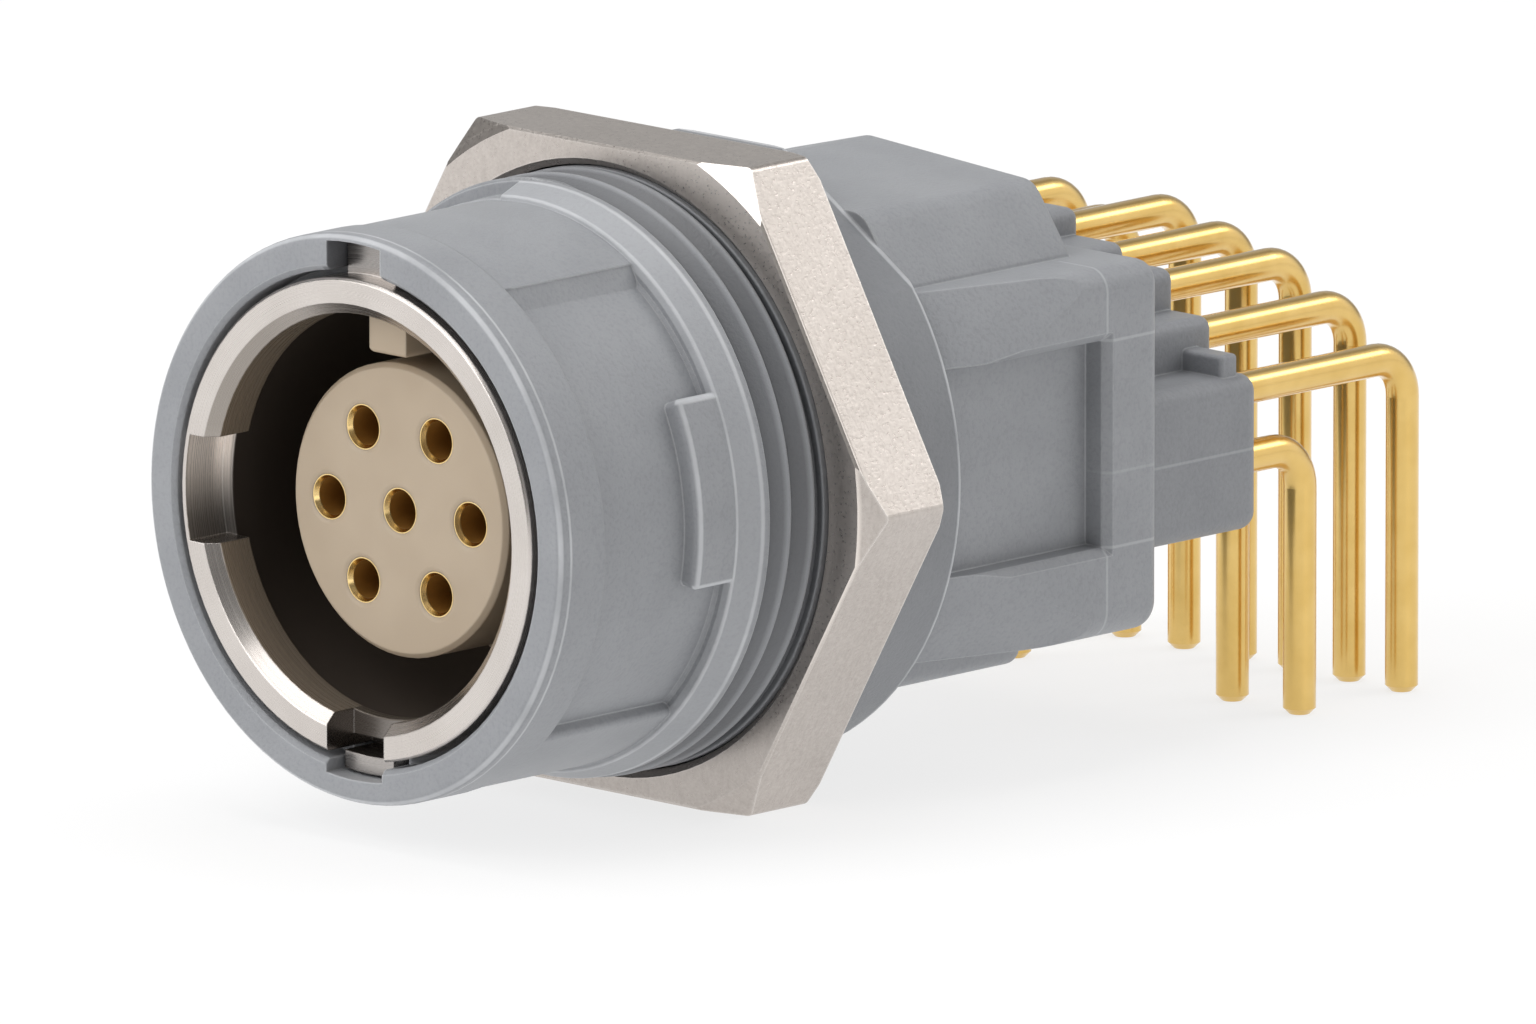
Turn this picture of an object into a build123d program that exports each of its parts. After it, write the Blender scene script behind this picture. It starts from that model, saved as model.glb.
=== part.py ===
from build123d import *
import math
import os

# Right-angle board socket.  Millimetres.
# Origin: on the connector axis, at the front face of the panel flange.
# +Y runs to the rear, the mating face looks along -Y, +Z is up.

# ---- driving dimensions --------------------------------------------------
Y_RIM = -13.55           # front face of the barrel
R_RIM = 8.51             # barrel rim
E_RIM = 0.25             # rounding of its outer edge
R_PAD = 8.45             # pads, just under the rim
R_FLOOR = 8.05           # recessed barrel wall between the pads
R_BAND0, R_BAND = 8.60, 8.90   # raised band in front of the thread, front and crest
Y_PAD0, Y_PAD1 = -11.7, -6.3
Y_BAND1 = -5.07          # rear edge of the band
R_ROOT = 8.45            # M18 x 1 root
R_CREST = 9.0            # M18 x 1 crest
NUT_AF = 19.5            # across flats
NUT_T = 3.0
NUT_CLEAR = 0.05         # running clearance, radial
NUT_GAP = 0.05           # nut run down, just off the flange
R_FLANGE = 9.4
Y_FLANGE = 2.5
FLAT_TOP, FLAT_SIDE = 9.15, 8.85   # distance of the flange's flats from the axis
Y_BOX = 11.4             # rear face of the housing
BOX_SIDE = 9.0
BOX_Z0, BOX_Z1 = -5.77, 5.45
WIN_DEPTH = 0.9          # side window recess
Y_WIN1, WIN_Z0, WIN_Z1 = 9.1, -2.95, 3.3
R_SLEEVE = 7.20
R_LIP = 6.1
R_SLEEVE_BORE = 6.6
Y_SLEEVE0 = -13.5
Y_SLEEVE1 = -1.2
R_INS = 4.4
Y_INS = -11.65
Y_RING0, Y_RING1 = -4.4, -2.2   # keyed ring behind the insulator's core
R_SPIGOT = 5.1
CONTACT_SIDE = 2.9        # outer contacts on the level line
CONTACT_X, CONTACT_Z = 1.5, 2.3   # the four others
R_CONTACT = 0.80         # body
R_NOSE = 0.68            # outer edge of the front face
Y_CONTACT = -11.6
R_CONTACT_BORE = 0.57
PIN_R = 0.5
BEND_R = 1.25
Z_TIP = -NUT_AF / 2      # pin tips level with the nut's lower flat
Y_LEG_REAR = 23.8
Y_LEG_FRONT = 19.3
CHAMBER_X, CHAMBER_Z0, CHAMBER_Z1 = 7.3, -5.0, 4.6
Y_CHAMBER = 0.6
Y_PLUG = 8.6
Y_BLOCK = 16.6

# contact position (x, z) and the pin it feeds (x, z of the level run)
CX, CZ = CONTACT_X, CONTACT_Z
PINS = [
    ((CONTACT_SIDE, 0.0), (7.2, 0.5)),
    ((CX, -CZ), (5.05, 1.8)),
    ((CX, CZ), (2.8, 2.8)),
    ((0.0, 0.0), (0.58, 3.3)),
    ((-CX, CZ), (-1.75, 3.8)),
    ((-CX, -CZ), (-4.2, 3.15)),
    ((-CONTACT_SIDE, 0.0), (-6.3, 3.7)),
]
# start on the sleeve's rear ring (x, z), level run (x, z)
GROUNDS = [
    ((5.7, -1.5), (7.24, -1.6), 5.0, 15.0),
    ((4.4, -4.4), (4.49, -1.6), 1.6, 12.6),
    ((-4.4, -4.4), (-4.49, -1.6), 1.6, 12.6),
    ((-5.7, -1.5), (-7.24, -1.6), 5.0, 15.0),
]


# ---- helpers -------------------------------------------------------------
def turned(points):
    """Solid of revolution about Y from (radius, y) points."""
    return revolve(make_face(Polyline(*points, close=True)), axis=Axis.Y)


def sector(r0, r1, y0, y1, a0, a1):
    """Part of a ring between two angles, from +X towards +Z."""
    face = make_face(Polyline((r0, y0), (r1, y0), (r1, y1), (r0, y1), close=True))
    return Rot(0, -a1, 0) * revolve(face, axis=Axis.Y, revolution_arc=a1 - a0)


def rod(r, y0, y1, x=0.0, z=0.0):
    """Cylinder along Y."""
    return Pos(x, (y0 + y1) / 2, z) * (Rot(90, 0, 0) * Cylinder(r, y1 - y0))


def block(x0, x1, y0, y1, z0, z1):
    return Pos((x0 + x1) / 2, (y0 + y1) / 2, (z0 + z1) / 2) * Box(x1 - x0, y1 - y0, z1 - z0)


def prism(points, y0, y1):
    """Outline in (x, z), carried along Y."""
    face = Plane.XZ.offset(-y1) * make_face(Polyline(*points, close=True))
    return extrude(face, amount=y1 - y0)


def bent_pin(start, level, y_start, y_a, y_b, y_leg):
    """Round wire: short lead, fan-out run, level run, bend, leg with a chamfered tip."""
    (xs, zs), (xp, zp) = start, level
    pts = [(xs, y_start, zs), (xs, y_a, zs), (xp, y_b, zp), (xp, y_leg, zp), (xp, y_leg, Z_TIP)]
    path = FilletPolyline(*pts, radius=BEND_R)
    section = Plane(origin=path @ 0, z_dir=path % 0) * Circle(PIN_R)
    wire = sweep(section, path=path)
    tip = wire.edges().sort_by(Axis.Z)[0]
    return chamfer(tip, 0.18)


# ---- pins and contacts ---------------------------------------------------
pcb_pins = [bent_pin(c, p, -0.6, 1.6, 12.6, Y_LEG_REAR) for c, p in PINS]
ground_pins = [bent_pin(s, p, -2.1, a, b, Y_LEG_FRONT) for s, p, a, b in GROUNDS]

contacts = []
for (cx, cz), _ in PINS:
    y_f, y_r = Y_CONTACT, 1.4
    c = turned([
        (R_CONTACT_BORE + 0.08, y_f), (R_NOSE, y_f), (R_CONTACT, y_f + 0.25), (R_CONTACT, y_r),
        (PIN_R, y_r), (PIN_R, -0.6), (0.0, -0.6), (0.0, -5.3),
        (R_CONTACT_BORE, -5.3), (R_CONTACT_BORE, y_f + 0.14),
    ])
    contacts.append(Pos(cx, 0, cz) * c)

# ---- contact insulator and its keyed ring ---------------------------------
insulator = turned([
    (0.0, Y_INS), (R_INS - 0.15, Y_INS), (R_INS, Y_INS + 0.15), (R_INS, Y_RING1),
    (R_SPIGOT, Y_RING1), (R_SPIGOT, Y_CHAMBER), (0.0, Y_CHAMBER),
])
for (cx, cz), _ in PINS:
    # dished mouth, then the contact's own outline
    seat = turned([
        (0, Y_INS - 0.1), (0.86, Y_INS - 0.1), (0.82, Y_INS), (R_NOSE, Y_CONTACT),
        (R_CONTACT, Y_CONTACT + 0.25), (R_CONTACT, 2.0), (0, 2.0),
    ])
    insulator = insulator - Pos(cx, 0, cz) * seat

key_ring = turned([
    (R_INS, Y_RING0), (R_SLEEVE_BORE, Y_RING0), (R_SLEEVE_BORE, Y_RING1), (R_INS, Y_RING1),
])
key = block(-0.75, 0.75, -12.1, Y_RING0 + 0.4, 4.72, 7.2)
key = fillet(key.edges().filter_by(lambda e: e.center().Z < 4.8 and e.center().Y < -6), 0.18)
key_ring = key_ring + (key & rod(R_SLEEVE_BORE, -12.5, Y_RING0 + 0.5))

# ---- shield sleeve -------------------------------------------------------
sleeve = turned([
    (R_LIP + 0.35, Y_SLEEVE0), (R_SLEEVE - 0.08, Y_SLEEVE0), (R_SLEEVE, Y_SLEEVE0 + 0.08),
    (R_SLEEVE, Y_SLEEVE1), (R_SPIGOT, Y_SLEEVE1), (R_SPIGOT, -2.2),
    (R_SLEEVE_BORE, -2.2), (R_SLEEVE_BORE, -11.95), (R_LIP, -11.95), (R_LIP, Y_SLEEVE0 + 0.35),
])
# nine o'clock notch, then the six o'clock one with a slit behind its rear wall
sleeve = sleeve - (block(-8.0, -5.5, -13.7, -11.95, -1.6, 1.6) & rod(7.0, -13.7, -11.9))
sleeve = sleeve - block(-1.18, 1.18, -13.7, -12.35, -7.6, -5.0)
sleeve = sleeve - block(-1.18, 1.18, -12.4, -11.6, -7.6, -6.75)
# lugs that key the sleeve to the barrel
sleeve = sleeve + (block(-1.0, 1.0, -12.75, -10.9, 7.0, 9.0) & rod(8.1, -12.8, -10.8))
sleeve = sleeve + ((block(-1.0, 1.0, -12.9, -10.9, -9.0, -6.9) & rod(7.72, -13.0, -10.8)) - rod(7.18, -13.0, -11.6))
for pin in ground_pins:
    sleeve = sleeve - pin

# ---- housing: barrel, neck, flange and rear box, one moulding -------------
E = E_RIM
rim_arc = [
    (R_RIM - E + E * math.sin(math.radians(t)), Y_RIM + E - E * math.cos(math.radians(t)))
    for t in range(0, 91, 15)
]
housing = turned([
    (7.42, Y_RIM + 0.15), (7.57, Y_RIM), *rim_arc,
    (R_RIM, Y_PAD0), (R_FLOOR, Y_PAD0 + 0.12), (R_FLOOR, Y_PAD1 - 0.1),
    (R_FLOOR + 0.1, Y_PAD1), (R_BAND0 - 0.05, Y_PAD1), (R_BAND0, Y_PAD1 + 0.05), (R_BAND, Y_BAND1 - 0.38), (R_BAND, Y_BAND1 - 0.1),
    (R_BAND - 0.1, Y_BAND1), (R_ROOT, Y_BAND1), (R_ROOT, -NUT_T),
    (R_CREST, -NUT_T), (R_CREST, 0.0), (R_FLANGE - 0.1, 0.0), (R_FLANGE, 0.1),
    (R_FLANGE, Y_FLANGE - 0.1), (R_FLANGE - 0.1, Y_FLANGE),
    (R_SPIGOT, Y_FLANGE), (R_SPIGOT, Y_SLEEVE1), (R_SLEEVE, Y_SLEEVE1),
    (R_SLEEVE, -12.4), (7.42, -12.4),
])
housing = housing + sector(R_FLOOR - 0.3, R_PAD, Y_PAD0 - 0.1, Y_PAD1 + 0.1, 59, 121)
housing = housing + sector(R_FLOOR - 0.3, R_PAD, Y_PAD0 - 0.1, Y_PAD1 + 0.1, -135, -45)

# the upper pad runs out in a ramp at both sides
for a0, a1 in ((59.5, 54.5), (120.5, 125.5)):
    c0, s0 = math.cos(math.radians(a0)), math.sin(math.radians(a0))
    c1, s1 = math.cos(math.radians(a1)), math.sin(math.radians(a1))
    housing = housing + prism([
        (7.8 * c0, 7.8 * s0), ((R_PAD - 0.005) * c0, (R_PAD - 0.005) * s0), ((R_FLOOR - 0.01) * c1, (R_FLOOR - 0.01) * s1), (7.8 * c1, 7.8 * s1),
    ], Y_PAD0 - 0.1, Y_PAD1 + 0.1)

housing = housing - sector(8.5, 9.3, Y_PAD1 - 0.3, Y_BAND1 - 0.25, 97, 168)
pad_edges = housing.edges().filter_by(
    lambda e: e.geom_type == GeomType.LINE and e.center().Z < 0 and 4.5 < e.length < 6.0 and abs(math.hypot(e.center().X, e.center().Z) - R_PAD) < 0.02
)
housing = fillet(pad_edges, 0.16)

tab = sector(R_FLOOR - 0.3, 8.62, -7.9, Y_BAND1 - 0.3, -12, 27)
tab = fillet(tab.edges().filter_by(lambda e: e.center().Y < -5.6 and math.hypot(e.center().X, e.center().Z) > 8.0), 0.22)
housing = housing + tab

# rear box: rounded oblong, its front corners turned down to the flange
box = block(-BOX_SIDE, BOX_SIDE, Y_FLANGE - 0.1, Y_BOX, BOX_Z0, BOX_Z1)
box = fillet(box.edges().filter_by(Axis.Y).filter_by(lambda e: e.center().Z > 0), 0.7)
box = fillet(box.edges().filter_by(Axis.Y).filter_by(lambda e: e.center().Z < 0), 0.95)
box = fillet(box.edges().filter_by(lambda e: abs(e.center().Y - Y_BOX) < 1e-3), 0.45)
box = box & turned([
    (0, Y_FLANGE - 0.2), (8.98, Y_FLANGE - 0.2), (8.98, Y_FLANGE), (10.5, Y_WIN1), (12.0, Y_WIN1 + 0.1),
    (12.0, Y_BOX + 0.1), (0, Y_BOX + 0.1),
])


def window_face(x, grow):
    """Window outline in a plane across X, grown on all sides."""
    y0, y1, z0, z1 = Y_FLANGE - grow, Y_WIN1 + grow, WIN_Z0 - grow, WIN_Z1 + grow
    return make_face(Polyline((x, y0, z0), (x, y1, z0), (x, y1, z1), (x, y0, z1), close=True))


for s in (1, -1):
    x0, x1 = sorted((s * (BOX_SIDE - WIN_DEPTH), s * 10.5))
    box = box - block(x0, x1, Y_FLANGE, Y_WIN1, WIN_Z0, WIN_Z1)
    bevel = loft([window_face(s * (BOX_SIDE - 0.25), 0.0), window_face(s * (BOX_SIDE + 0.5), 0.75)], ruled=True)
    box = box - (bevel & block(x0, x1, Y_FLANGE, Y_BOX, BOX_Z0, BOX_Z1))

hump = prism([
    (-7.45, 5.0), (-6.95, 5.65), (-4.46, 7.22), (-1.4, 8.02), (5.3, 7.58), (6.75, 5.55), (6.95, 5.0),
], Y_FLANGE - 0.6, 10.0)
hump = fillet(hump.edges().filter_by(Axis.Y).filter_by(lambda e: e.center().Z > 7.4), 0.8)
hump = fillet(hump.edges().filter_by(lambda e: abs(e.center().Y - 10.0) < 1e-3 and e.center().Z > 5.6), 0.35)
boss = prism([(-5.5, -5.2), (-5.0, -7.1), (5.0, -7.1), (5.5, -5.2)], Y_FLANGE - 0.6, 9.7)
boss = fillet(boss.edges().filter_by(lambda e: e.center().Z < -5.6 and e.center().Y > 3.0), 0.5)
housing = housing + box + hump + boss

# flats on the upper part of the flange
for tilt in (-33.0, 0.0, 33.0):
    reach = FLAT_TOP if tilt == 0.0 else FLAT_SIDE
    housing = housing - Rot(0, tilt, 0) * block(-6.0, 6.0, 0.02, Y_FLANGE, reach, reach + 3.0)

# inside: chamber, wall holes for the ground pins, lug pockets
housing = housing - block(-CHAMBER_X, CHAMBER_X, Y_CHAMBER, Y_BOX + 1, CHAMBER_Z0, CHAMBER_Z1)
housing = housing - rod(R_SPIGOT, Y_SLEEVE1, Y_CHAMBER + 0.1)
for (xs, zs), _, _, _ in GROUNDS:
    housing = housing - rod(PIN_R + 0.05, Y_SLEEVE1 - 0.1, Y_CHAMBER + 0.1, xs, zs)
housing = housing - (block(-1.1, 1.1, Y_RIM - 0.1, -12.6, 7.0, 9.0) & rod(8.3, -13.7, -12.6))
housing = housing - (block(-1.1, 1.1, -12.7, -10.9, 7.0, 9.0) & rod(8.15, -12.7, -10.9))
housing = housing - (block(-1.15, 1.15, Y_RIM - 0.1, -10.9, -9.0, -7.0) & rod(7.8, -13.7, -10.9))

# ---- pin block -----------------------------------------------------------
def step_box(x0, x1, z0, z1, r):
    """One step: rear, side and top edges rounded, front end left square."""
    b = block(x0, x1, Y_BOX, Y_BLOCK, z0, z1)
    edges = b.edges().filter_by(lambda e: e.center().Y > Y_BOX + 0.01)
    return fillet(edges, r)


# (left x, right x, top z) of each step, from the low one on the right
STEPS = [(4.0, 6.27, 2.61), (2.0, 4.7, 3.84), (0.0, 2.7, 4.34), (-5.2, 0.8, 5.14), (-7.4, -4.4, 4.6)]
pin_block = step_box(-8.2, 8.2, -3.6, 1.14, 0.55)
for xa, xb, zt in STEPS:
    pin_block = pin_block + step_box(xa, xb, -2.4, zt, 0.38)
pin_block = pin_block + fillet(block(6.0, 7.85, 15.2, 15.95, 0.6, 1.78).edges().filter_by(lambda e: e.center().Z > 1.0), 0.14)
plug = block(-CHAMBER_X, CHAMBER_X, Y_PLUG, Y_BOX, CHAMBER_Z0, CHAMBER_Z1)
pin_block = pin_block + plug
for pin in pcb_pins + ground_pins:
    pin_block = pin_block - pin

# ---- panel nut -----------------------------------------------------------
RC = NUT_AF / 2 / math.cos(math.radians(30))
hexagon = [(RC * math.cos(math.radians(a)), RC * math.sin(math.radians(a))) for a in range(0, 360, 60)]
nut = prism(hexagon, -NUT_T, 0.0)
nut = fillet(nut.edges().filter_by(Axis.Y), 0.25)
nut = chamfer(nut.edges().filter_by(lambda e: abs(e.center().Y + NUT_T) < 1e-3), 0.07)
tan30 = math.tan(math.radians(30))
r_cone = 10.42
nut = nut & turned([
    (0, -NUT_T), (r_cone, -NUT_T), (12.5, -NUT_T + (12.5 - r_cone) * tan30),
    (12.5, -(12.5 - 10.9) * tan30), (10.9, 0.0), (0, 0.0),
])
nut = nut - rod(R_CREST + NUT_CLEAR, -NUT_T - 0.1, 0.1)
nut = nut - turned([(0, -NUT_T - 0.1), (9.35, -NUT_T - 0.1), (9.05, -NUT_T + 0.22), (0, -NUT_T + 0.22)])
nut = Pos(0, -NUT_GAP, 0) * nut

# ---- write ---------------------------------------------------------------
nodes = {
    "housing": housing,
    "shield_sleeve": sleeve,
    "contact_insulator": insulator,
    "key_ring": key_ring,
    "hex_nut": nut,
    "pin_block": pin_block,
}
for i, c in enumerate(contacts, 1):
    nodes[f"socket_contact_{i}"] = c
for i, p in enumerate(pcb_pins, 1):
    nodes[f"pcb_pin_{i}"] = p
for i, p in enumerate(ground_pins, 1):
    nodes[f"ground_pin_{i}"] = p

os.makedirs("parts", exist_ok=True)
for name, shape in nodes.items():
    export_step(shape, f"parts/{name}.step")
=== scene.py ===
import math

import bmesh
import bpy
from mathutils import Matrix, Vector


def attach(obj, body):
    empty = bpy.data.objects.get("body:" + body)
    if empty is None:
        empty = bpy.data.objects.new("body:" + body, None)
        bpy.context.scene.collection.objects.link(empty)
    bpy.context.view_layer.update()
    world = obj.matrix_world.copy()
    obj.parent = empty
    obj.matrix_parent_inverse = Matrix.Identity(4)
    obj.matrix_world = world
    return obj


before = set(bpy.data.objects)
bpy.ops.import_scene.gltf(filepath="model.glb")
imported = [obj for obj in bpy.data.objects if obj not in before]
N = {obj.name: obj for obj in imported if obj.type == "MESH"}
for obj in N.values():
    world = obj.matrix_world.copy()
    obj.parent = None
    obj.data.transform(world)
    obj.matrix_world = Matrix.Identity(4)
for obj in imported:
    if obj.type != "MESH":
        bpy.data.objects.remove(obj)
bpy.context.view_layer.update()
MM = 0.001

# ---- camera --------------------------------------------------------------
DIST = 1.2
TARGET = Vector((7.232, -3.526, -0.205)) * MM
BACK = Vector((0.6801, -0.705, 0.2042)).normalized()
PX_PER_MM = 34.02

cam_data = bpy.data.cameras.new("view")
cam = bpy.data.objects.new("view", cam_data)
bpy.context.scene.collection.objects.link(cam)
cam.location = TARGET + BACK * DIST
cam.rotation_euler = BACK.to_track_quat("Z", "Y").to_euler()
cam_data.sensor_width = 36.0
cam_data.lens = PX_PER_MM * DIST * 1000 / 1536 * 36
cam_data.clip_start = 0.01
cam_data.clip_end = 20
bpy.context.scene.camera = cam
bpy.context.scene.view_settings.view_transform = "Standard"
bpy.context.scene.view_settings.look = "None"
bpy.context.scene.view_settings.exposure = 0.0


# ---- node helpers --------------------------------------------------------
class Mat:
    """A node material under construction."""

    def __init__(self, name):
        self.m = bpy.data.materials.new(name)
        self.m.use_nodes = True
        self.t = self.m.node_tree
        self.bsdf = self.t.nodes["Principled BSDF"]
        self.coord = self.t.nodes.new("ShaderNodeTexCoord")

    def link(self, a, b):
        self.t.links.new(a, b)

    def xyz(self):
        s = self.t.nodes.new("ShaderNodeSeparateXYZ")
        self.link(self.coord.outputs["Object"], s.inputs[0])
        return s.outputs

    def math(self, op, a, b=None, c=None, clamp=False):
        n = self.t.nodes.new("ShaderNodeMath")
        n.operation = op
        n.use_clamp = clamp
        for i, v in enumerate((a, b, c)):
            if v is None:
                continue
            if isinstance(v, (int, float)):
                n.inputs[i].default_value = v
            else:
                self.link(v, n.inputs[i])
        return n.outputs[0]

    def noise(self, scale, detail=3.0, rough=0.55, stretch=None, vector=None):
        n = self.t.nodes.new("ShaderNodeTexNoise")
        n.inputs["Scale"].default_value = scale
        n.inputs["Detail"].default_value = detail
        n.inputs["Roughness"].default_value = rough
        v = vector if vector is not None else self.coord.outputs["Object"]
        if stretch is not None:
            mp = self.t.nodes.new("ShaderNodeMapping")
            mp.inputs["Scale"].default_value = stretch
            self.link(v, mp.inputs[0])
            v = mp.outputs[0]
        self.link(v, n.inputs["Vector"])
        return n.outputs[0]

    def map(self, v, a, b, c, d, smooth=False):
        n = self.t.nodes.new("ShaderNodeMapRange")
        n.interpolation_type = "SMOOTHSTEP" if smooth else "LINEAR"
        for i, x in zip(("From Min", "From Max", "To Min", "To Max"), (a, b, c, d)):
            n.inputs[i].default_value = x
        self.link(v, n.inputs["Value"])
        return n.outputs[0]

    def mix(self, fac, a, b):
        n = self.t.nodes.new("ShaderNodeMix")
        n.data_type = "RGBA"
        self.link(fac, n.inputs[0])
        for s, v in ((6, a), (7, b)):
            if isinstance(v, tuple):
                n.inputs[s].default_value = (*v, 1.0)
            else:
                self.link(v, n.inputs[s])
        return n.outputs[2]

    def rounded(self, radius):
        """Shading normal with softened edges, and how close a point is to an edge."""
        b = self.t.nodes.new("ShaderNodeBevel")
        b.samples = 6
        b.inputs["Radius"].default_value = radius
        g = self.t.nodes.new("ShaderNodeNewGeometry")
        d = self.t.nodes.new("ShaderNodeVectorMath")
        d.operation = "DOT_PRODUCT"
        self.link(b.outputs[0], d.inputs[0])
        self.link(g.outputs["Normal"], d.inputs[1])
        edge = self.math("SUBTRACT", 1.0, d.outputs["Value"], clamp=True)
        return b.outputs[0], edge

    def near(self, v, at, half):
        """1 on a line at v = at, 0 further off than half."""
        off = self.math("ABSOLUTE", self.math("SUBTRACT", v, at))
        return self.map(off, half * 0.4, half, 1.0, 0.0)

    def past(self, v, at, soft=0.00002):
        """0 below at, 1 above it."""
        return self.map(v, at - soft, at + soft, 0.0, 1.0)

    def bump(self, height, strength, distance, normal=None):
        n = self.t.nodes.new("ShaderNodeBump")
        n.inputs["Strength"].default_value = strength
        n.inputs["Distance"].default_value = distance
        self.link(height, n.inputs["Height"])
        if normal is not None:
            self.link(normal, n.inputs["Normal"])
        return n.outputs[0]

    def set(self, name, value):
        s = self.bsdf.inputs[name]
        if isinstance(value, (int, float)):
            s.default_value = value
        elif isinstance(value, tuple):
            s.default_value = (*value, 1.0) if len(value) == 3 and s.type == "RGBA" else value
        else:
            self.link(value, s)


# ---- materials -----------------------------------------------------------
def grey_moulding(name, low, high, block=False):
    m = Mat(name)
    soft, edge = m.rounded(0.00011)
    cloud = m.noise(420.0, 3.0)
    fine = m.noise(7600.0, 4.0, 0.6)
    grain = m.noise(22000.0, 2.0, 0.5)
    colour = m.mix(m.map(cloud, 0.35, 0.65, 0.0, 1.0), low, high)
    # painted light on the peaks and painted shade in the hollows of the fine grain that also drives the bump
    colour = m.mix(m.map(fine, 0.3, 0.75, 0.0, 0.22), colour, (0.36, 0.37, 0.39))
    grain_hollow_shade = m.map(fine, 0.36, 0.5, 0.22, 0.0)
    colour = m.mix(grain_hollow_shade, colour, (0.20, 0.205, 0.22))
    x, y, z = m.xyz()
    # painted highlight: edges are made lighter, except along the step at y = -11.7 mm
    step = m.math("SUBTRACT", 1.0, m.near(y, -0.0117, 0.00045))
    colour = m.mix(m.math("MULTIPLY", m.map(edge, 0.035, 0.20, 0.0, 0.9), step), colour, (0.56, 0.57, 0.59))
    r = m.math("SQRT", m.math("ADD", m.math("MULTIPLY", x, x), m.math("MULTIPLY", z, z)))
    if block:
        line = m.math("MULTIPLY", m.near(z, -0.0011, 0.00006), m.past(m.math("ABSOLUTE", x), 0.0070))
        colour = m.mix(m.math("MULTIPLY", line, 0.3), colour, (0.50, 0.51, 0.53))
    else:
        # the band is lighter; the thread carries painted shade, darkest at its root, and painted highlight lines
        # on its crests; the flange disc carries painted shade
        band = m.math("MULTIPLY", m.past(r, 0.00856), m.math("MULTIPLY", m.past(y, -0.00626), m.past(y, -0.00536, -0.00004)))
        colour = m.mix(m.math("MULTIPLY", band, 0.30), colour, (0.45, 0.46, 0.48))
        # painted shade: the thread is darker, most towards its root
        neck = m.math("MULTIPLY", m.past(y, -0.00505), m.past(y, -0.00290, -0.00002))
        groove = m.math("MULTIPLY", neck, m.map(r, 0.0084, 0.0090, 0.95, 0.66))
        colour = m.mix(groove, colour, (0.085, 0.088, 0.095))
        # painted highlight lines on the thread crests
        crest = m.math("MULTIPLY", neck, m.map(r, 0.00890, 0.00896, 0.0, 0.45))
        colour = m.mix(crest, colour, (0.40, 0.41, 0.43))
        # painted shade on the flange disc
        disc = m.math("MULTIPLY", m.past(r, 0.0086), m.math("MULTIPLY", m.past(y, -0.0001), m.past(y, 0.00240, -0.00002)))
        colour = m.mix(m.math("MULTIPLY", disc, 0.40), colour, (0.11, 0.115, 0.125))

        # painted shade inside the notch at the top of the rim
        top_notch_shade = m.math("MULTIPLY", m.past(m.math("ABSOLUTE", x), 0.0013, -0.00003), m.math("MULTIPLY", m.past(z, 0.0073), m.past(y, -0.0135)))
        top_notch_shade = m.math("MULTIPLY", top_notch_shade, m.math("MULTIPLY", m.past(y, -0.0118, -0.00002), m.past(r, 0.00836, -0.00003)))
        colour = m.mix(m.math("MULTIPLY", top_notch_shade, 0.6), colour, (0.07, 0.07, 0.075))

        # painted highlight lines along the turned edges, the flange and the side tab
        edge_line_highlight = None
        for at, half, inner in ((-0.01347, 0.00008, 0.00836), (-0.01312, 0.00006, 0.00835), (-0.00626, 0.00007, 0.00830),
                                (-0.00545, 0.00009, 0.00870), (0.00240, 0.00011, 0.00872), (-0.00776, 0.00010, 0.00848)):
            ring = m.math("MULTIPLY", m.near(y, at, half), m.past(r, inner))
            edge_line_highlight = ring if edge_line_highlight is None else m.math("MAXIMUM", edge_line_highlight, ring)
        tab = m.math("MULTIPLY", m.past(r, 0.00848), m.math("MULTIPLY", m.past(y, -0.0079), m.past(y, -0.0063, -0.00002)))
        ends = m.math("MAXIMUM", m.near(z, 0.00378, 0.00010), m.near(z, -0.00168, 0.00010))
        edge_line_highlight = m.math("MAXIMUM", edge_line_highlight, m.math("MULTIPLY", tab, ends))
        edge_line_highlight = m.math("MULTIPLY", edge_line_highlight, m.math("MULTIPLY", m.past(y, 0.0027, -0.00002), m.map(cloud, 0.3, 0.6, 0.40, 0.90)))
        colour = m.mix(edge_line_highlight, colour, (0.52, 0.53, 0.55))

        # parting lines of the mould on the rear box
        side = m.past(m.math("ABSOLUTE", x), 0.0070)
        beams = m.math("MAXIMUM", m.past(z, 0.0034), m.past(z, -0.0030, -0.00002))
        across = m.math("MULTIPLY", m.near(y, 0.0091, 0.00006), m.math("MULTIPLY", beams, side))
        corners = m.math("MAXIMUM", m.near(z, 0.0033, 0.00006), m.near(z, -0.00295, 0.00006))
        post = m.math("MULTIPLY", corners, m.math("MULTIPLY", m.past(y, 0.0091), side))
        rear = m.math("MULTIPLY", m.near(z, -0.0007, 0.00006), m.math("MULTIPLY", m.past(y, 0.0091), side))
        line = m.math("MAXIMUM", m.math("MAXIMUM", across, post), m.math("MULTIPLY", rear, 0.5))
        colour = m.mix(m.math("MULTIPLY", line, 0.45), colour, (0.50, 0.51, 0.53))

    m.set("Base Color", colour)
    m.set("Roughness", m.map(fine, 0.3, 0.7, 0.40, 0.53))
    m.set("Specular IOR Level", 0.42)
    m.set("Subsurface Weight", 0.08)
    m.set("Subsurface Radius", (0.6, 0.6, 0.65))
    m.set("Subsurface Scale", 0.0006)
    n = m.bump(fine, 0.6, 0.00004, soft)
    n = m.bump(grain, 0.3, 0.000015, n)
    m.set("Normal", n)
    return m.m


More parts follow.
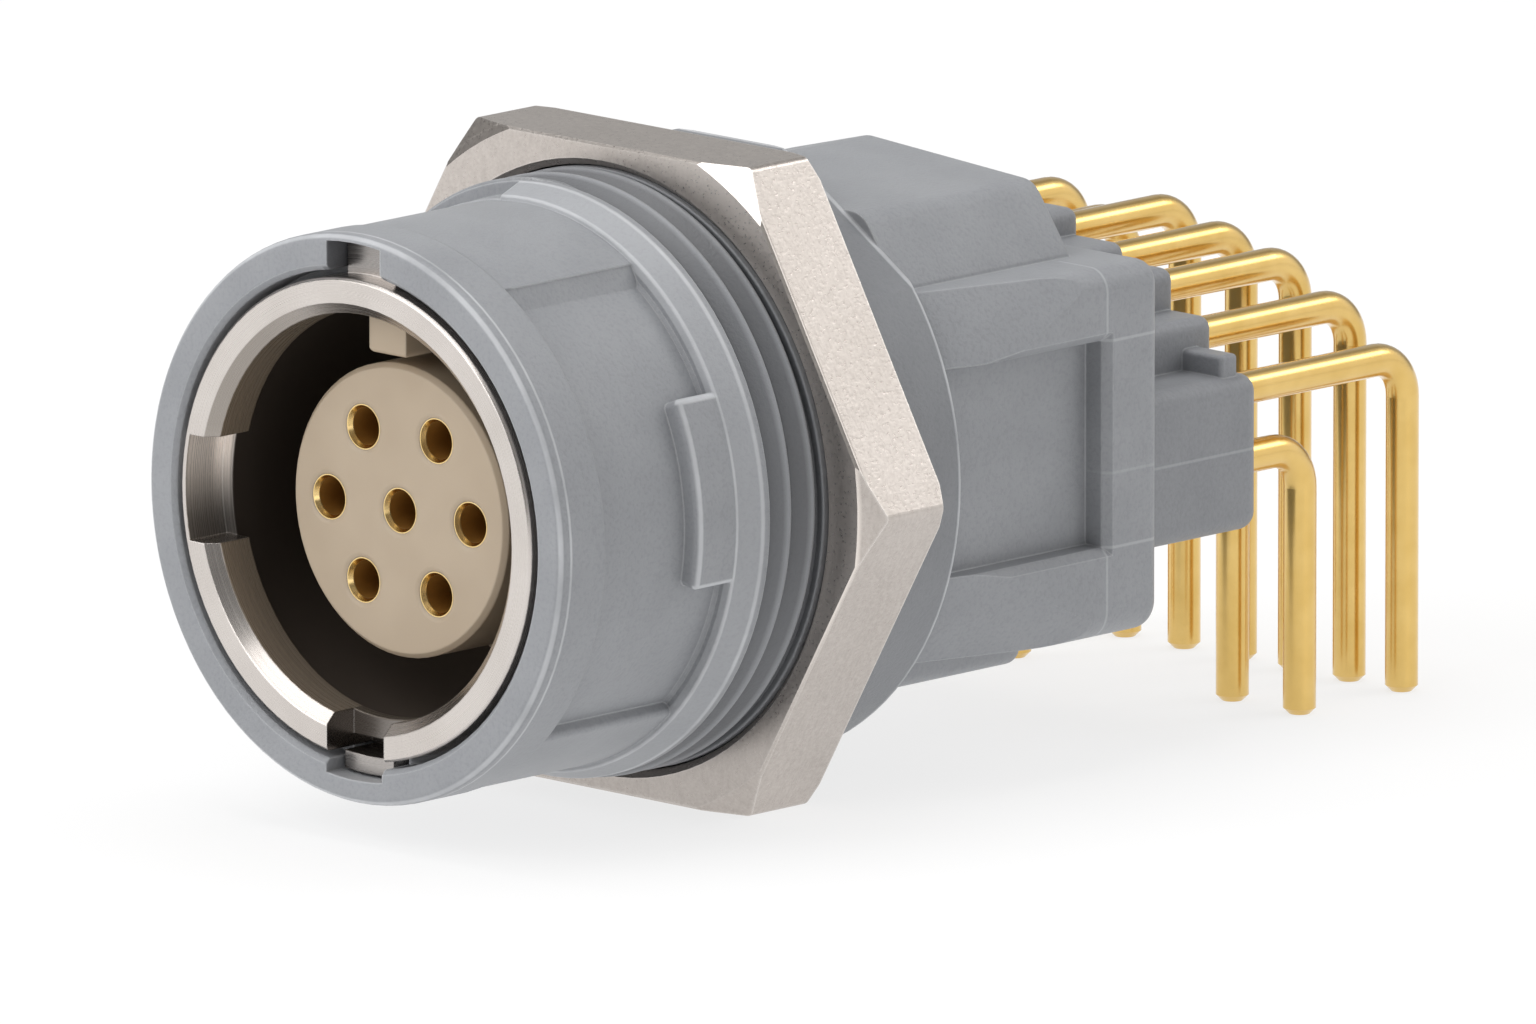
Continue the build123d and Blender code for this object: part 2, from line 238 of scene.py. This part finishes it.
def nickel_nut():
    m = Mat("nickel_nut")
    edge = m.rounded(0.00014)[1]
    x, y, z = m.xyz()
    cloud = m.noise(300.0, 3.0)
    grain = m.noise(10500.0, 3.0, 0.55, stretch=(1.0, 0.6, 1.0))
    drag = m.noise(4200.0, 3.0, 0.6, stretch=(1.0, 2.2, 0.5))
    colour = m.mix(m.map(cloud, 0.3, 0.7, 0.0, 1.0), (0.505, 0.460, 0.425), (0.550, 0.503, 0.468))
    # painted light on the peaks and painted shade in the hollows of the grain and drag textures that also drive
    # the bump
    colour = m.mix(m.map(grain, 0.42, 0.66, 0.0, 0.34), colour, (0.70, 0.65, 0.61))
    colour = m.mix(m.map(drag, 0.34, 0.54, 0.22, 0.0), colour, (0.36, 0.325, 0.30))
    # painted light: the front face is lighter towards +X, except near the bottom
    front = m.math("MULTIPLY", m.past(y, -0.00300, -0.00003), m.map(x, 0.0, 0.006, 0.0, 0.75, smooth=True))
    colour = m.mix(m.math("MULTIPLY", front, m.past(z, -0.0045, 0.0015)), colour, (0.88, 0.81, 0.75))
    # painted highlight along the edges
    colour = m.mix(m.map(edge, 0.01, 0.22, 0.0, 0.75), colour, (0.86, 0.82, 0.78))
    m.set("Base Color", colour)
    m.set("Metallic", 1.0)
    m.set("Roughness", m.map(grain, 0.3, 0.7, 0.26, 0.36))
    flats = m.past(y, -0.0029)
    n = m.bump(m.math("MULTIPLY", grain, flats), 0.7, 0.000007)
    n = m.bump(m.math("MULTIPLY", drag, flats), 0.7, 0.000013, n)
    m.set("Normal", n)
    return m.m


def nickel_sleeve():
    m = Mat("nickel_sleeve")
    soft, edge = m.rounded(0.00006)
    x, y, z = m.xyz()
    r = m.math("SQRT", m.math("ADD", m.math("MULTIPLY", x, x), m.math("MULTIPLY", z, z)))
    rv = m.t.nodes.new("ShaderNodeCombineXYZ")
    m.link(m.math("MULTIPLY", r, 1.0), rv.inputs[0])
    m.link(m.math("MULTIPLY", y, 1.0), rv.inputs[1])
    turned = m.noise(26000.0, 2.0, 0.5, vector=rv.outputs[0])
    cloud = m.noise(500.0, 2.0)
    inside = m.math("MULTIPLY", m.map(y, -0.01200, -0.01188, 0.0, 1.0), m.map(r, 0.00666, 0.00672, 1.0, 0.0))
    bevel = m.math("MULTIPLY", m.map(r, 0.00642, 0.00646, 1.0, 0.0), m.past(y, -0.01349))
    left = m.map(x, 0.0005, -0.0045, 0.0, 1.0, smooth=True)
    lip = m.math("MULTIPLY", m.map(r, 0.00612, 0.00616, 1.0, 0.0), m.past(y, -0.01314))
    slot = m.math("MULTIPLY", m.map(m.math("ABSOLUTE", x), 0.00119, 0.00121, 1.0, 0.0),
                  m.math("MULTIPLY", m.past(z, -0.00570, -0.00003), m.past(y, -0.01346)))
    lug = m.math("MULTIPLY", m.past(r, 0.00724), m.past(z, 0.004))
    low = m.math("MULTIPLY", m.past(r, 0.00720), m.past(z, -0.004, -0.00002))
    colour = m.mix(m.map(cloud, 0.3, 0.7, 0.0, 1.0), (0.60, 0.555, 0.52), (0.66, 0.615, 0.58))
    # painted highlight along the edges
    colour = m.mix(m.map(edge, 0.02, 0.3, 0.0, 0.4), colour, (0.90, 0.88, 0.86))
    # painted shade on the inner chamfer, stronger towards the left and the upper side
    colour = m.mix(m.math("MULTIPLY", m.math("MULTIPLY", bevel, m.map(z, -0.002, 0.002, 0.15, 1.0)), m.map(left, 0.0, 1.0, 0.15, 0.8)), colour, (0.27, 0.24, 0.21))
    # painted shade: the inner lip is painted a dull brown-grey
    colour = m.mix(m.math("MULTIPLY", lip, 0.9), colour, (0.235, 0.188, 0.138))
    # painted shade inside the slot at the bottom
    colour = m.mix(m.math("MULTIPLY", slot, 0.72), colour, (0.085, 0.072, 0.062))
    # painted light and shade in the side pocket: dark at its bottom, bright at its top
    pocket = m.math("MULTIPLY", m.past(x, -0.0062, -0.00002), m.math("MULTIPLY", m.past(m.math("ABSOLUTE", z), 0.00158, -0.00002), m.past(y, -0.01346)))
    tone = m.mix(m.map(z, -0.0013, 0.0013, 0.0, 1.0, smooth=True), (0.16, 0.147, 0.135), (0.95, 0.88, 0.82))
    colour = m.mix(pocket, colour, tone)
    # painted shade: the outer ring is darker below z = -4 mm
    colour = m.mix(m.math("MULTIPLY", low, 0.6), colour, (0.55, 0.52, 0.50))
    # painted shade on the lug at the top
    colour = m.mix(m.math("MULTIPLY", lug, 0.7), colour, (0.20, 0.19, 0.185))
    # painted shade: the bore inside is near black, with painted light towards the lower wall
    deep = m.mix(m.map(z, -0.0015, -0.0062, 0.0, 1.0, smooth=True), (0.030, 0.023, 0.018), (0.080, 0.064, 0.053))
    colour = m.mix(inside, colour, deep)
    m.set("Base Color", colour)
    dull = m.math("MAXIMUM", inside, m.math("MULTIPLY", m.math("MAXIMUM", lip, pocket), 0.6))
    m.set("Metallic", m.map(dull, 0.0, 1.0, 1.0, 0.0))
    bare = m.math("SUBTRACT", 1.0, inside)
    face = m.math("MULTIPLY", bare, m.past(y, -0.01345, -0.00002))
    rough = m.map(turned, 0.3, 0.7, 0.22, 0.34)
    m.set("Roughness", m.math("ADD", m.math("MULTIPLY", rough, bare), m.math("MULTIPLY", inside, 0.48)))
    m.set("Normal", m.bump(m.math("MULTIPLY", turned, face), 0.14, 0.000012, soft))
    return m.m


def beige():
    m = Mat("beige_insulator")
    soft, edge = m.rounded(0.00010)
    cloud = m.noise(350.0, 2.0)
    fine = m.noise(12000.0, 3.0, 0.5)
    colour = m.mix(m.map(cloud, 0.35, 0.65, 0.0, 1.0), (0.415, 0.330, 0.238), (0.448, 0.361, 0.264))
    # painted highlight along the edges
    colour = m.mix(m.map(edge, 0.02, 0.3, 0.0, 0.35), colour, (0.57, 0.50, 0.40))
    m.set("Base Color", colour)
    m.set("Roughness", m.map(fine, 0.3, 0.7, 0.36, 0.44))
    m.set("Specular IOR Level", 0.45)
    m.set("Subsurface Weight", 0.10)
    m.set("Subsurface Radius", (1.0, 0.8, 0.55))
    m.set("Subsurface Scale", 0.0005)
    m.set("Normal", m.bump(fine, 0.12, 0.000015, soft))
    return m.m


def gold_pin():
    m = Mat("gold_pin")
    cloud = m.noise(900.0, 2.0)
    drawn = m.noise(9000.0, 3.0, 0.55)
    m.set("Base Color", m.mix(m.map(cloud, 0.3, 0.7, 0.0, 1.0), (0.715, 0.468, 0.124), (0.785, 0.533, 0.170)))
    m.set("Metallic", 1.0)
    m.set("Roughness", m.map(drawn, 0.3, 0.7, 0.23, 0.27))
    m.set("Coat Weight", 0.8)
    m.set("Coat Roughness", 0.12)
    m.set("Normal", m.bump(cloud, 0.04, 0.00001))
    return m.m


def gold_contact():
    """Bright turned mouth, and a dull bore that light scatters into, painted dark brown as shade."""
    m = Mat("gold_contact")
    y = m.xyz()[1]
    cloud = m.noise(1800.0, 2.0)
    deep = m.past(y, -0.01144)
    mouth = m.mix(m.map(cloud, 0.3, 0.7, 0.0, 1.0), (0.86, 0.62, 0.26), (0.93, 0.70, 0.34))
    # painted shade: the bore is dark brown
    m.set("Base Color", m.mix(deep, mouth, (0.32, 0.155, 0.032)))
    m.set("Metallic", m.map(deep, 0.0, 1.0, 1.0, 0.30))
    m.set("Roughness", m.map(deep, 0.0, 1.0, 0.20, 0.46))
    m.set("Normal", m.bump(cloud, 0.04, 0.00001))
    return m.m


GREY = grey_moulding("grey_moulding", (0.264, 0.272, 0.288), (0.292, 0.300, 0.316))
# painted shade: the pin block gets a darker copy of the housing grey
GREY_BLOCK = grey_moulding("grey_block", (0.214, 0.220, 0.234), (0.238, 0.244, 0.258), block=True)
NUT = nickel_nut()
SLEEVE = nickel_sleeve()
BEIGE = beige()
GOLD_PIN = gold_pin()
GOLD_CONTACT = gold_contact()


def dress(node, material):
    o = N[node]
    for s in o.material_slots:
        s.link = "OBJECT"
        s.material = material


for name in N:
    if name == "housing":
        dress(name, GREY)
    elif name == "pin_block":
        dress(name, GREY_BLOCK)
    elif name == "hex_nut":
        dress(name, NUT)
    elif name == "shield_sleeve":
        dress(name, SLEEVE)
    elif name in ("contact_insulator", "key_ring"):
        dress(name, BEIGE)
    elif name.startswith("socket_contact"):
        dress(name, GOLD_CONTACT)
    else:
        dress(name, GOLD_PIN)


# ---- thread on the neck --------------------------------------------------
def thread(y0=-5.08, y1=-2.98, root=8.47, crest=8.99, pitch=1.0, inner=8.2, around=288, along=104):
    """The visible part of the M18 x 1 thread: each turn rises to the rear and ends in a sharp step."""
    bm = bmesh.new()

    def radius(theta, y):
        f = ((y - pitch * theta / (2 * math.pi) + 4.263) / pitch) % 1.0
        if f < 0.10:
            h = 0.0
        elif f < 0.78:
            h = 0.42 + 0.50 * (f - 0.10) / 0.68 if f > 0.16 else 0.42 * (f - 0.10) / 0.06
        elif f < 0.94:
            h = 1.0 - 0.08 * (abs(f - 0.86) / 0.08) ** 2
        else:
            h = 0.92 * (1.0 - f) / 0.06
        return root + (crest - root) * h

    rings = []
    for i in range(around):
        th = 2 * math.pi * i / around
        c, s = math.cos(th), math.sin(th)
        col = []
        for j in range(along + 1):
            y = y0 + (y1 - y0) * j / along
            r = radius(th, y)
            col.append(bm.verts.new((r * c * MM, y * MM, r * s * MM)))
        col.append(bm.verts.new((inner * c * MM, y1 * MM, inner * s * MM)))
        col.append(bm.verts.new((inner * c * MM, y0 * MM, inner * s * MM)))
        rings.append(col)
    for i in range(around):
        a, b = rings[i], rings[(i + 1) % around]
        for j in range(len(a)):
            k = (j + 1) % len(a)
            bm.faces.new((a[j], a[k], b[k], b[j]))
    bmesh.ops.recalc_face_normals(bm, faces=bm.faces)
    me = bpy.data.meshes.new("neck_thread")
    bm.to_mesh(me)
    bm.free()
    for p in me.polygons:
        p.use_smooth = True
    o = bpy.data.objects.new("neck_thread", me)
    bpy.context.scene.collection.objects.link(o)
    o.data.materials.append(GREY)
    return o


neck_thread = thread()
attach(neck_thread, "socket")

# ---- floor and light -----------------------------------------------------
floor_z = -9.75 * MM
me = bpy.data.meshes.new("floor")
S = 6.0
me.from_pydata([(-S, -S, floor_z), (S, -S, floor_z), (S, S, floor_z), (-S, S, floor_z)], [], [(0, 1, 2, 3)])
floor = bpy.data.objects.new("floor", me)
bpy.context.scene.collection.objects.link(floor)
fm = bpy.data.materials.new("floor")
fm.use_nodes = True
fb = fm.node_tree.nodes["Principled BSDF"]
fb.inputs["Base Color"].default_value = (0.22, 0.22, 0.22, 1)
fb.inputs["Roughness"].default_value = 0.9
fb.inputs["Specular IOR Level"].default_value = 0.0
fb.inputs["Emission Color"].default_value = (1, 1, 1, 1)
fb.inputs["Emission Strength"].default_value = 0.76
me.materials.append(fm)

world = bpy.data.worlds.new("studio")
bpy.context.scene.world = world
world.use_nodes = True
wt = world.node_tree
bg = wt.nodes["Background"]
tc = wt.nodes.new("ShaderNodeTexCoord")
nz = wt.nodes.new("ShaderNodeVectorMath")
nz.operation = "NORMALIZE"
wt.links.new(tc.outputs["Generated"], nz.inputs[0])


def lobe(direction, start, end, low, high):
    d = wt.nodes.new("ShaderNodeVectorMath")
    d.operation = "DOT_PRODUCT"
    v = Vector(direction).normalized()
    d.inputs[1].default_value = v
    wt.links.new(nz.outputs[0], d.inputs[0])
    r = wt.nodes.new("ShaderNodeMapRange")
    r.interpolation_type = "SMOOTHSTEP"
    for k, x in zip(("From Min", "From Max", "To Min", "To Max"), (start, end, low, high)):
        r.inputs[k].default_value = x
    wt.links.new(d.outputs["Value"], r.inputs["Value"])
    return r.outputs[0]


def both(op, a, b):
    n = wt.nodes.new("ShaderNodeMath")
    n.operation = op
    for i, v in enumerate((a, b)):
        if isinstance(v, (int, float)):
            n.inputs[i].default_value = v
        else:
            wt.links.new(v, n.inputs[i])
    return n.outputs[0]


rear = lobe((-0.68, 0.70, 0.22), 0.75, 0.97, 0.0, 0.25)
bright = lobe((0.52, 0.70, 0.49), 0.68, 0.95, 0.0, 0.78)
strip = lobe((0.985, -0.08, 0.10), 0.93, 0.99, 0.0, 1.8)
rail = lobe((0.34, 0.70, 0.62), 0.978, 0.996, 0.0, 3.2)
front = lobe((0.68, -0.70, 0.25), 0.6, 0.98, 0.0, -0.04)
horizon = both("MULTIPLY", lobe((0, 0, -1), 0.0005, 0.004, 0.0, 0.65), lobe((0, 0, -1), 0.10, 0.12, 1.0, 0.0))
level = 0.25
for part in (rear, bright, strip, rail, front, horizon):
    level = both("ADD", level, part)
wt.links.new(level, bg.inputs["Strength"])
bg.inputs["Color"].default_value = (1.0, 0.995, 0.985, 1)


def area(name, where, size, power, aim=(0, 3, 0), colour=(1, 1, 1)):
    d = bpy.data.lights.new(name, "AREA")
    d.shape = "RECTANGLE"
    d.size, d.size_y = size[0] * MM, size[1] * MM
    d.energy = power
    d.color = colour
    o = bpy.data.objects.new(name, d)
    bpy.context.scene.collection.objects.link(o)
    p = Vector(where) * MM
    o.location = p
    o.rotation_euler = (p - Vector(aim) * MM).to_track_quat("Z", "Y").to_euler()
    return o


area("key_box", (-110, -300, 200), (400, 400), 1.18)
area("top_box", (-60, 20, 330), (260, 260), 0.66)
